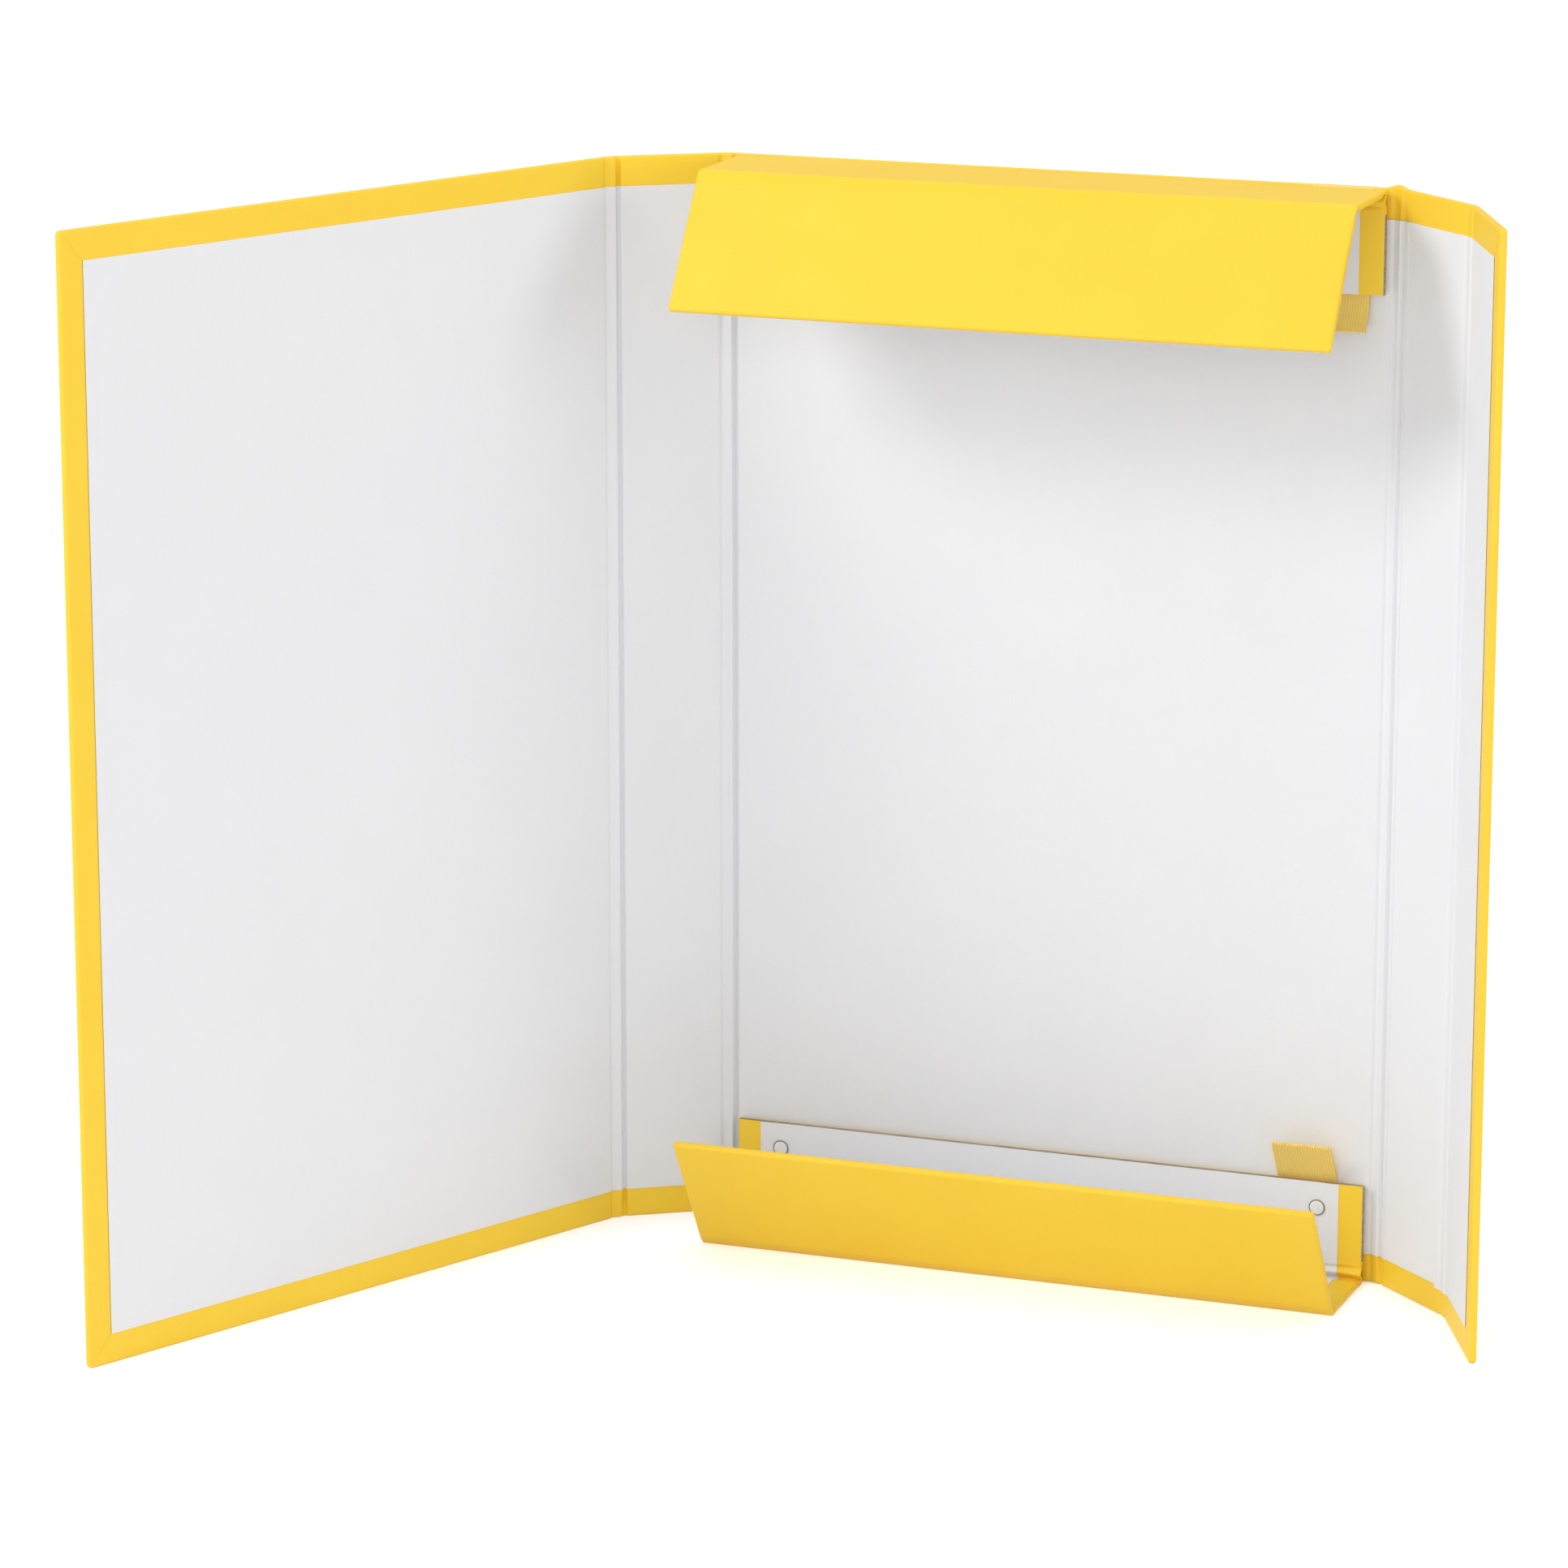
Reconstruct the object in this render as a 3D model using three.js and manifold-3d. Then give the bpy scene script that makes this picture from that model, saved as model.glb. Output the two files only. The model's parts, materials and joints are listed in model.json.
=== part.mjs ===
// Elastic folder, standing open. Five upright panels are joined in a row: front cover, spine, back,
// fore-edge wall and closing flap. A base board with a wall and a flap is riveted to the back's foot
// and another to its head, and an elastic strap runs down behind the back.
// Units are millimetres. X runs along the back, Y points behind it and Z is up. The origin is the
// middle of the bottom wall's underside, which the folder stands on.

import * as THREE from 'three';
import { mergeVertices } from 'three/addons/utils/BufferGeometryUtils.js';
import Module from 'manifold-3d';

const wasm = await Module();
wasm.setup();

// Panels
const folderHeight = 350;
const backWidth = 213;
const coverWidth = 215;
const spineWidth = 31;
const foreEdgeWidth = 31;
const closingFlapWidth = 42;

// Base boards, walls and flaps at the head and foot of the back
const endInset = 0.7;
const baseHeight = 26.5;
const wallDepth = 25.6;
const flapHeight = 43.6;
const baseStandOff = 1.2;

// Layers of a panel: greyboard between two papers, with a film of glue under each
const boardThickness = 1.7;
const paperThickness = 0.25;
const glueFilm = 0.06;

// Paper hinges: the width of bare paper between two boards
const panelHingeGap = 7.8;
const baseHingeGap = 11;
const pivotClearance = 0.15;

// Yellow paper turned over onto the inside, as it shows round the white lining
const panelEndMargin = 9.5;
const coverSideMargin = 8.5;
const closingFlapMargin = 8;
const flapMargin = 8;
const flapEndMargin = 8;
const cornerRadius = 2;
const cornerSegments = 5;

// Fold of each hinge from lying flat, in degrees
const spineFold = 33;
const coverFold = 31.5;
const foreEdgeFold = 41.2;
const closingFlapFold = 24;
const wallFold = 90;
const bottomFlapFold = 58;
const topFlapFold = 56.4;

// Elastic strap
const strapWidth = 19.5;
const strapThickness = 1;
const strapClearance = 0.1;
const strapFootInset = 9.8;
const strapHeadInset = 4.6;
const footTabRise = 13.5;
const footTabReach = 9;
const headTabDrop = 11.5;
const headTabReach = 4;
const notchClearance = 0.5;
const strapBendRadius = 1;
const strapBendSteps = 6;
const footTabCurl = 1 / 3;
const headTabCurl = 1 / 2;

// Rivets
const rivetHeadRadius = 2.75;
const rivetHeadHeight = 0.8;
const rivetTailHeight = 0.5;
const rivetShankRadius = 1.5;
const rivetHoleClearance = 0.1;
const rivetEndDistance = 15;
const rivetEdgeDistance = 8.3;
const rivetFacets = 24;
const rivetDomeSteps = 6;

const yellowPaper = new THREE.MeshStandardMaterial({ color: 0xf8d048, roughness: 0.7, metalness: 0 });
const liningPaper = new THREE.MeshStandardMaterial({ color: 0xebebec, roughness: 0.85, metalness: 0 });
const greyboard = new THREE.MeshStandardMaterial({ color: 0x9c9284, roughness: 0.95, metalness: 0 });
const elasticFabric = new THREE.MeshStandardMaterial({ color: 0xe6c45a, roughness: 0.9, metalness: 0 });
const rivetWhite = new THREE.MeshStandardMaterial({ color: 0xf2f1ec, roughness: 0.45, metalness: 0 });

// Heights of the layers above a hinge's fold line, which lies in the inner face of the hinge paper
const layer = {
  outside: -(2 * paperThickness + glueFilm),
  coverTop: -(paperThickness + glueFilm),
  boardFoot: -paperThickness,
  boardTop: boardThickness - paperThickness,
  skinFoot: boardThickness - paperThickness + glueFilm,
  inside: boardThickness + glueFilm,
};
const leafThickness = layer.inside - layer.outside;

// Solids. Vertices of a mesh that lie nearer than the merge distance are one vertex.

const mergeDistance = 1e-4;

function toSolid(geometry) {
  const bare = geometry.index ? geometry.toNonIndexed() : geometry.clone();
  bare.deleteAttribute('normal');
  bare.deleteAttribute('uv');
  const merged = mergeVertices(bare, mergeDistance);
  return new wasm.Manifold(new wasm.Mesh({
    numProp: 3,
    vertProperties: new Float32Array(merged.attributes.position.array),
    triVerts: new Uint32Array(merged.index.array),
  }));
}

function toGeometry(solid) {
  const { vertProperties, triVerts } = solid.getMesh();
  const geometry = new THREE.BufferGeometry();
  geometry.setAttribute('position', new THREE.BufferAttribute(vertProperties, 3));
  geometry.setIndex(new THREE.BufferAttribute(triVerts, 1));
  geometry.computeVertexNormals();
  return geometry;
}

function slab([x0, x1], [y0, y1], [z0, z1]) {
  const box = new THREE.BoxGeometry(x1 - x0, y1 - y0, z1 - z0);
  return toSolid(box.translate((x0 + x1) / 2, (y0 + y1) / 2, (z0 + z1) / 2));
}

// A profile drawn across a hinge, as pairs of distance and height, and run along it
function run(profile, [y0, y1]) {
  const shape = new THREE.Shape(profile.map(([x, z]) => new THREE.Vector2(x, z)));
  const extruded = new THREE.ExtrudeGeometry(shape, { depth: y1 - y0, bevelEnabled: false });
  return toSolid(extruded.rotateX(Math.PI / 2).translate(0, y1, 0));
}

// A plate whose two corners at x1 are rounded
function plate([x0, x1], [y0, y1], [z0, z1], radius) {
  const outline = new THREE.Shape();
  outline.moveTo(x0, y0);
  outline.lineTo(x1 - radius, y0);
  outline.absarc(x1 - radius, y0 + radius, radius, -Math.PI / 2, 0, false);
  outline.absarc(x1 - radius, y1 - radius, radius, 0, Math.PI / 2, false);
  outline.lineTo(x0, y1);
  const options = { depth: z1 - z0, bevelEnabled: false, curveSegments: cornerSegments };
  return toSolid(new THREE.ExtrudeGeometry(outline, options).translate(0, 0, z0));
}

function pierce(solid, holes) {
  for (const { x, y } of holes) {
    const radius = rivetShankRadius + rivetHoleClearance;
    const drill = new THREE.CylinderGeometry(radius, radius, 2 * leafThickness, rivetFacets);
    solid = solid.subtract(toSolid(drill.rotateX(Math.PI / 2).translate(x, y, 0)));
  }
  return solid;
}

// Panels. Each is drawn with x across it from its near edge, y along its hinge and z towards its
// inside. An edge is a hinge, a turned edge with paper folded round it, or a raw one.

const hinge = (gap) => ({ half: gap / 2, margin: 0, wrap: 0 });
const turned = (margin) => ({ half: 0, margin, wrap: paperThickness + glueFilm });
const raw = { half: 0, margin: 0, wrap: 0 };

// The paper on a panel's inside, with its dips into the grooves of the hinges beside it
function innerSkin(from, to, panel, stripFoot) {
  const lower = [];
  const upper = [];
  if (panel.near.half) {
    const edge = panel.start - glueFilm;
    lower.push([from, stripFoot], [edge, stripFoot], [edge, layer.skinFoot]);
    upper.push([from, 0], [edge - paperThickness, 0], [edge - paperThickness, layer.inside]);
  } else {
    lower.push([from, layer.skinFoot]);
    upper.push([from, layer.inside]);
  }
  if (panel.far.half) {
    const edge = panel.end + glueFilm;
    lower.push([edge, layer.skinFoot], [edge, stripFoot], [to, stripFoot]);
    upper.push([edge + paperThickness, layer.inside], [edge + paperThickness, 0], [to, 0]);
  } else {
    lower.push([to, layer.skinFoot]);
    upper.push([to, layer.inside]);
  }
  return [...lower, ...upper.reverse()];
}

function wrapOf(panel) {
  const { length, start, end, from, to, near, far, endMargin } = panel;
  const full = [layer.outside, layer.inside];
  let wrap = slab([from, to], [0, length], [layer.outside, layer.coverTop]);
  for (const [low, high, rim] of [[0, endMargin, 0], [length - endMargin, length, length - paperThickness]]) {
    const band = run(innerSkin(from, to, panel, layer.coverTop), [low, high]);
    wrap = wrap.add(band).add(slab([start, end], [rim, rim + paperThickness], full));
  }
  if (far.margin) {
    wrap = wrap.add(slab([end - paperThickness, end], [0, length], full));
    wrap = wrap.add(slab([end - far.margin, end], [0, length], [layer.skinFoot, layer.inside]));
    wrap = wrap.intersect(plate([from - near.half, end], [0, length], full, cornerRadius));
  }
  return wrap;
}

function boardOf({ length, start, end, far }) {
  const inset = paperThickness + glueFilm;
  const heights = [layer.boardFoot, layer.boardTop];
  const along = [inset, length - inset];
  return far.margin
    ? plate([start, end - far.wrap], along, heights, cornerRadius - inset)
    : slab([start, end], along, heights);
}

function liningOf(panel) {
  const { length, endMargin, from, to, far } = panel;
  const limit = far.margin ? panel.end - far.margin - glueFilm : to;
  const skin = innerSkin(from, limit, panel, layer.boardFoot);
  return run(skin, [endMargin + glueFilm, length - endMargin - glueFilm]);
}

function addMesh(group, name, solid, material) {
  const mesh = new THREE.Mesh(toGeometry(solid), material);
  mesh.name = name;
  group.add(mesh);
}

// A panel's group is placed on its near fold line. What is hinged to it goes on its far fold line.
function makePanel({ name, length, width, near, far, endMargin, holes = [], notches = [] }) {
  const start = near.half;
  const end = start + width;
  const from = near.half ? pivotClearance : 0;
  const to = end + (far.half ? far.half - pivotClearance : 0);
  const panel = { length, start, end, from, to, near, far, endMargin };
  const group = new THREE.Group();
  const layers = [
    ['board', boardOf(panel), greyboard],
    ['wrap', wrapOf(panel), yellowPaper],
    ['lining', liningOf(panel), liningPaper],
  ];
  for (const [kind, solid, material] of layers) {
    let cut = pierce(solid, holes);
    for (const notch of notches) cut = cut.subtract(notch);
    addMesh(group, `${name}_${kind}`, cut, material);
  }
  return { group, farFold: end + far.half };
}

function hang(child, parent, fold) {
  child.group.position.x = parent.farFold;
  child.group.rotation.y = -THREE.MathUtils.degToRad(fold);
  parent.group.add(child.group);
}

// Places of the pieces beside the back, all measured from the values above
const wallLength = backWidth - 2 * endInset;
const standFaceDepth = baseStandOff - layer.outside + baseHingeGap / 2 + wallDepth / 2;
const backInsideY = standFaceDepth;
const backOutsideY = backInsideY + leafThickness;
const baseOutsideY = backInsideY - baseStandOff;
const baseFoldY = baseOutsideY + layer.outside;
const baseFreeEdge = -layer.outside + baseHingeGap / 2 + baseHeight;
const rivetHeight = baseFreeEdge - rivetEdgeDistance;

// The strap leans a little: its right edge is nearer the base's end at the head than at the foot
const wallEndX = wallLength / 2;
const strapSlope = (strapFootInset - strapHeadInset) / folderHeight;
const strapFootX = wallEndX - strapFootInset - strapWidth / 2;

const rivetPlaces = [-1, 1].flatMap((side) => [rivetHeight, folderHeight - rivetHeight].map((z) => ({
  name: `${z < folderHeight / 2 ? 'bottom' : 'top'}_rivet_${side < 0 ? 'left' : 'right'}`,
  x: side * (wallEndX - rivetEndDistance),
  z,
})));

// A panel group whose x and inward z axes are laid along the given directions
function frame(xAxis, position) {
  const inward = new THREE.Vector3(0, -1, 0);
  const along = new THREE.Vector3().crossVectors(inward, xAxis);
  const group = new THREE.Group();
  group.setRotationFromMatrix(new THREE.Matrix4().makeBasis(xAxis, along, inward));
  group.position.copy(position);
  return group;
}

function shear(geometry) {
  const position = geometry.attributes.position;
  for (let i = 0; i < position.count; i += 1) {
    position.setX(i, position.getX(i) + strapSlope * position.getZ(i));
  }
  return geometry;
}

// The strap's run seen from the side, as pairs of Y and Z along its middle
function strapRun() {
  const half = strapThickness / 2;
  const inner = backInsideY - baseStandOff / 2;
  const outer = backOutsideY + rivetTailHeight + strapClearance + half;
  const foot = half;
  const head = folderHeight - half;
  const bend = strapBendRadius;
  const path = new THREE.Path();
  path.moveTo(inner - footTabReach, baseFreeEdge + footTabRise);
  path.quadraticCurveTo(
    inner - footTabReach * footTabCurl,
    baseFreeEdge + footTabRise * footTabCurl,
    inner,
    baseFreeEdge,
  );
  path.lineTo(inner, foot + bend);
  path.quadraticCurveTo(inner, foot, inner + bend, foot);
  path.lineTo(outer - bend, foot);
  path.quadraticCurveTo(outer, foot, outer, foot + bend);
  path.lineTo(outer, head - bend);
  path.quadraticCurveTo(outer, head, outer - bend, head);
  path.lineTo(inner + bend, head);
  path.quadraticCurveTo(inner, head, inner, head - bend);
  const drop = folderHeight - baseFreeEdge;
  path.lineTo(inner, drop);
  path.quadraticCurveTo(
    inner,
    drop - headTabDrop * headTabCurl,
    inner - headTabReach,
    drop - headTabDrop,
  );
  return path.getPoints(strapBendSteps);
}

// A strip of even thickness along a run of points
function stripOutline(points, thickness) {
  const sides = [[], []];
  points.forEach((point, i) => {
    const before = points[Math.max(i - 1, 0)];
    const after = points[Math.min(i + 1, points.length - 1)];
    const inTo = point.clone().sub(before).normalize();
    const outOf = after.clone().sub(point).normalize();
    const along = inTo.add(outOf).normalize();
    const reference = i ? point.clone().sub(before).normalize() : along;
    const stretch = thickness / 2 / along.dot(reference);
    const across = new THREE.Vector2(-along.y, along.x).multiplyScalar(stretch);
    sides[0].push(point.clone().add(across));
    sides[1].push(point.clone().sub(across));
  });
  return new THREE.Shape([...sides[0], ...sides[1].reverse()]);
}

function makeStrap() {
  const outline = stripOutline(strapRun(), strapThickness);
  const ribbon = new THREE.ExtrudeGeometry(outline, { depth: strapWidth, bevelEnabled: false });
  const basis = new THREE.Matrix4().makeBasis(
    new THREE.Vector3(0, 1, 0),
    new THREE.Vector3(0, 0, 1),
    new THREE.Vector3(1, 0, 0),
  );
  ribbon.applyMatrix4(basis).translate(strapFootX - strapWidth / 2, 0, 0);
  let strap = toSolid(shear(ribbon));
  for (const { x, z } of rivetPlaces.filter((place) => place.x > 0)) {
    const radius = rivetShankRadius + rivetHoleClearance;
    const depth = baseStandOff + leafThickness;
    const drill = new THREE.CylinderGeometry(radius, radius, depth, rivetFacets);
    strap = strap.subtract(toSolid(drill.translate(x, baseOutsideY + depth / 2, z)));
  }
  return strap;
}

// A rivet turned about its axis, with its domed head inside and its flat tail behind the back
function makeRivet() {
  const headY = baseOutsideY - leafThickness;
  const tailY = backOutsideY;
  const grip = tailY - headY;
  const dome = Array.from({ length: rivetDomeSteps + 1 }, (_, i) => {
    const turn = (i / rivetDomeSteps) * (Math.PI / 2);
    return new THREE.Vector2(rivetHeadRadius * Math.sin(turn), -rivetHeadHeight * Math.cos(turn));
  });
  const profile = [
    ...dome,
    new THREE.Vector2(rivetShankRadius, 0),
    new THREE.Vector2(rivetShankRadius, grip),
    new THREE.Vector2(rivetHeadRadius, grip),
    new THREE.Vector2(rivetHeadRadius - rivetTailHeight / 2, grip + rivetTailHeight),
    new THREE.Vector2(0, grip + rivetTailHeight),
  ];
  return toSolid(new THREE.LatheGeometry(profile, rivetFacets).translate(0, headY, 0));
}

// Room in the back's head and foot edges for the strap to pass over them
function strapNotches(backLeftX) {
  const depth = strapThickness + notchClearance;
  return [[0, strapFootX], [folderHeight, strapFootX + strapSlope * folderHeight]].map(([height, x]) => {
    const half = strapWidth / 2 + notchClearance;
    const middle = x - backLeftX;
    return slab([middle - half, middle + half], [height - depth, height + depth], [-leafThickness, leafThickness]);
  });
}

function makeBack() {
  const leftFoldX = -(backWidth + panelHingeGap) / 2;
  const group = frame(new THREE.Vector3(1, 0, 0), new THREE.Vector3(leftFoldX, backInsideY + layer.inside, 0));
  const back = makePanel({
    name: 'back',
    length: folderHeight,
    width: backWidth,
    near: hinge(panelHingeGap),
    far: hinge(panelHingeGap),
    endMargin: panelEndMargin,
    holes: rivetPlaces.map(({ x, z }) => ({ x: x - leftFoldX, y: z })),
    notches: strapNotches(leftFoldX),
  });
  group.add(back.group);
  return { group, back };
}

function makeRightSide(back) {
  const foreEdge = makePanel({
    name: 'fore_edge',
    length: folderHeight,
    width: foreEdgeWidth,
    near: hinge(panelHingeGap),
    far: hinge(panelHingeGap),
    endMargin: panelEndMargin,
  });
  const closingFlap = makePanel({
    name: 'closing_flap',
    length: folderHeight,
    width: closingFlapWidth,
    near: hinge(panelHingeGap),
    far: turned(closingFlapMargin),
    endMargin: panelEndMargin,
  });
  hang(foreEdge, back, foreEdgeFold);
  hang(closingFlap, foreEdge, closingFlapFold);
}

function makeLeftSide(back) {
  const turnedRound = { group: new THREE.Group(), farFold: 0 };
  turnedRound.group.rotation.z = Math.PI;
  turnedRound.group.position.y = folderHeight;
  back.group.add(turnedRound.group);
  const spine = makePanel({
    name: 'spine',
    length: folderHeight,
    width: spineWidth,
    near: hinge(panelHingeGap),
    far: hinge(panelHingeGap),
    endMargin: panelEndMargin,
  });
  const cover = makePanel({
    name: 'front_cover',
    length: folderHeight,
    width: coverWidth,
    near: hinge(panelHingeGap),
    far: turned(coverSideMargin),
    endMargin: panelEndMargin,
  });
  hang(spine, turnedRound, spineFold);
  hang(cover, spine, coverFold);
}

// A base board, wall and flap. The base lies inside the back with its free edge towards the middle.
function makeEndFlaps(name, flapFold, downward) {
  const freeEdge = downward ? baseFreeEdge : folderHeight - baseFreeEdge;
  const group = frame(new THREE.Vector3(0, 0, downward ? -1 : 1), new THREE.Vector3(0, baseFoldY, freeEdge));
  const base = makePanel({
    name: `${name}_base`,
    length: wallLength,
    width: baseHeight,
    near: raw,
    far: hinge(baseHingeGap),
    endMargin: flapEndMargin,
    holes: [rivetEndDistance, wallLength - rivetEndDistance].map((y) => ({ x: rivetEdgeDistance, y })),
  });
  const wall = makePanel({
    name: `${name}_wall`,
    length: wallLength,
    width: wallDepth,
    near: hinge(baseHingeGap),
    far: hinge(panelHingeGap),
    endMargin: flapEndMargin,
  });
  const flap = makePanel({
    name: `${name}_flap`,
    length: wallLength,
    width: flapHeight,
    near: hinge(panelHingeGap),
    far: turned(flapMargin),
    endMargin: flapEndMargin,
  });
  base.group.position.y = -wallLength / 2;
  group.add(base.group);
  hang(wall, base, wallFold);
  hang(flap, wall, flapFold);
  return group;
}

const folder = new THREE.Group();
const { group: backFrame, back } = makeBack();
folder.add(backFrame);
makeLeftSide(back);
makeRightSide(back);
folder.add(makeEndFlaps('bottom', bottomFlapFold, true));
folder.add(makeEndFlaps('top', topFlapFold, false));
addMesh(folder, 'elastic_strap', makeStrap(), elasticFabric);
for (const { name, x, z } of rivetPlaces) {
  const rivet = new THREE.Group();
  rivet.position.set(x, 0, z);
  addMesh(rivet, name, makeRivet(), rivetWhite);
  folder.add(rivet);
}

export default folder;
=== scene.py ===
"""Looks of the elastic folder: covering paper, lining, paper hinges, elastic strap and rivets."""
import json
import math
import random

import bmesh
import bpy
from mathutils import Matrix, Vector

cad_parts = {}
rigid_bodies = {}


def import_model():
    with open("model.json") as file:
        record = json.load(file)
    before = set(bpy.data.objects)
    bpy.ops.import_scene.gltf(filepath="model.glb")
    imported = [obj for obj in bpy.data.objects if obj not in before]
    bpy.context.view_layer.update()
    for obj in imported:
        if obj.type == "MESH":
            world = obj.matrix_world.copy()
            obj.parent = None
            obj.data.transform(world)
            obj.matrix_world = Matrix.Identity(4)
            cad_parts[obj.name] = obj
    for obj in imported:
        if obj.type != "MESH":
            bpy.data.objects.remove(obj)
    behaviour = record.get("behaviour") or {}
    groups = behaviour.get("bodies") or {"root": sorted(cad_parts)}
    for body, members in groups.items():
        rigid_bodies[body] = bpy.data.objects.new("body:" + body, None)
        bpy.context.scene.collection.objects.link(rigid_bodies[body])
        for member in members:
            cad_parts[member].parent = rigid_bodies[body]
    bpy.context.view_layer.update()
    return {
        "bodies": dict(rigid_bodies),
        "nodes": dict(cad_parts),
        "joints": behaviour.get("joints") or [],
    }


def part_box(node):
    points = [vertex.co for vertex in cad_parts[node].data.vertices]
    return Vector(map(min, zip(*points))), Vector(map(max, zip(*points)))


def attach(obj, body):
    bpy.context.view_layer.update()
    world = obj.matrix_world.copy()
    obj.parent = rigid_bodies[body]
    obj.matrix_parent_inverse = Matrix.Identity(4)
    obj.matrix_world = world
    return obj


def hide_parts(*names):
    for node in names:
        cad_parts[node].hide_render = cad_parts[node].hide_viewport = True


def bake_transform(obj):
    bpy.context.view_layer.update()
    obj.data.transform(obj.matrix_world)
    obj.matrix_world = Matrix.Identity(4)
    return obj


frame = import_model()
MM = 0.001

# Panels, in millimetres
FOLDER_HEIGHT = 350
BACK_WIDTH = 213
COVER_WIDTH = 215
SPINE_WIDTH = 31
FORE_EDGE_WIDTH = 31
CLOSING_FLAP_WIDTH = 42
WALL_LENGTH = 211.6
BASE_HEIGHT = 26.5
WALL_DEPTH = 25.6
FLAP_HEIGHT = 43.6
BASE_STAND_OFF = 1.2

# Layers above a fold line, which lies in the inner face of the hinge paper
PAPER = 0.25
LINING = 0.2
OUTSIDE = -0.56
INSIDE = 1.76
LINING_TOP = INSIDE + LINING
EDGE_RADIUS = 0.8
CORNER_RADII = {"front_cover": 1.4, "closing_flap": 1.7}
FOLDED_CORNER = 0.9
CORNER_STEPS = 6
EDGE_STEPS = 4
EDGE_LIMIT = 0.45
EDGE_BAND = 2
TURNED_BAND = 3.0
MARGIN_SHARES = (1.0, 0.7, 0.4)
TURN_IN_SHARES = (0.35, 0.7, 1.0)
WELD = 2e-6

# Rows of faces: round the wraps, along and across the panels, and along a hinge
OUTSIDE_ROWS = 12
PLAIN_ROWS = 6
TURNED_ROWS = 10
FREE_EDGE_ROWS = 14
LINING_ROWS = 24
LINING_COLUMNS = 8
HINGE_ROWS = 40

# Hinges. The reach is how far from the fold line the paper starts to bend.
PANEL_HINGE_GAP = 7.8
BASE_HINGE_GAP = 11.0
FREE_EDGE = -OUTSIDE + BASE_HINGE_GAP / 2 + BASE_HEIGHT
SEAM = 1.6
GROOVE_SLOPE = 1.5
GROOVE_FADE = 6.0
GROOVE_EASE = 0.35
THINNEST = 0.5
STATION_GAP = 0.1
SIDE_STATIONS = 14
MIDDLE_STATIONS = 22
PANEL_END_SHARE = 0.55
PUCKER_HEIGHT = 1.1
PUCKER_MIDDLE = -1.8
PUCKER_DEPTH = 6.0
PUCKER_WIDTH = 2.6
BASE_END_SHARE = 0.5
PANEL_REACH = 2.6
FLAP_REACH = 1.1
FOLD_START = 1.1
FOLD_FLAT = 0.5
FOLD_EASE = 0.4
BUCKLE_HEIGHT = 2.4
BUCKLE_PLACE = 0.55
BUCKLE_WIDTH = 1.5
ROUND_HINGES = ("spine", "front_cover", "fore_edge", "closing_flap")

# The inner paper of a panel hinge: distance from its left board, and height over the boards' face.
# The slack paper rises in a low ridge and dives into a crease beside the right board.
RIDGE = (
    (0.0, 0.0), (0.4, -0.1), (0.9, -0.5), (1.4, -0.5), (2.4, -0.14), (3.4, 0.24), (4.4, 0.62),
    (4.9, 0.74), (5.35, 0.62), (6.0, -0.3), (6.5, -1.15), (6.85, -1.4), (7.15, -1.2), (7.5, -0.25),
    (7.8, 0.0),
)
RIDGE_SHARES = {"spine": 1.0, "front_cover": 0.9, "fore_edge": 0.8, "closing_flap": 0.35}
LEFT_OF_FIRST = ("spine", "front_cover")

# Margins of yellow paper round the lining
PANEL_END_MARGIN = 9.5
LINING_SLIP = 1.3
COVER_SIDE_MARGIN = 8.5
FLAP_MARGIN = 8.0
TURN_IN_LAP = 4.0
LAP_DROP = PAPER - 0.05
LAP_EASE = 0.5
LAP_SLOPE = 1.5
LAP_BAND = 8
HINGE_BAND = 6
MITRE_STEP = 0.12
SHARP_ANGLE = math.radians(35)
BARE_END = 0.6
END_FACING = 0.6


# Panels. x runs across a panel from its near fold line, y along the hinge, n towards the inside.

class Panel:
    def __init__(self, name, origin, across, inward, length, width, near, far,
                 end_margin, side_margin=0.0):
        self.name = name
        self.origin = Vector(origin)
        self.across = Vector(across)
        self.inward = Vector(inward)
        self.along = self.inward.cross(self.across)
        self.length = length
        self.near = near
        self.far = far
        self.start = near
        self.end = near + width
        self.fold = self.end + far
        self.end_margin = end_margin
        self.side_margin = side_margin
        self.corner = CORNER_RADII.get(name, FOLDED_CORNER)

    def point(self, x, y, n):
        place = self.origin + self.across * x + self.along * y + self.inward * n
        return place * MM


def rest_fold(joint_name):
    """How far a hinge is folded at rest. Its lower limit is the flat folder."""
    joint = next(j for j in frame["joints"] if j["name"] == joint_name)
    return -math.radians(joint["range_deg"][0])


def hinged(parent, name, width, far, side_margin=0.0):
    """A panel joined to the far fold line of another."""
    angle = rest_fold(f"{name}_hinge")
    across = parent.across * math.cos(angle) + parent.inward * math.sin(angle)
    inward = parent.inward * math.cos(angle) - parent.across * math.sin(angle)
    origin = parent.origin + parent.across * parent.fold
    return Panel(name, origin, across, inward, parent.length, width,
                 parent.far, far, parent.end_margin, side_margin)


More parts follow.
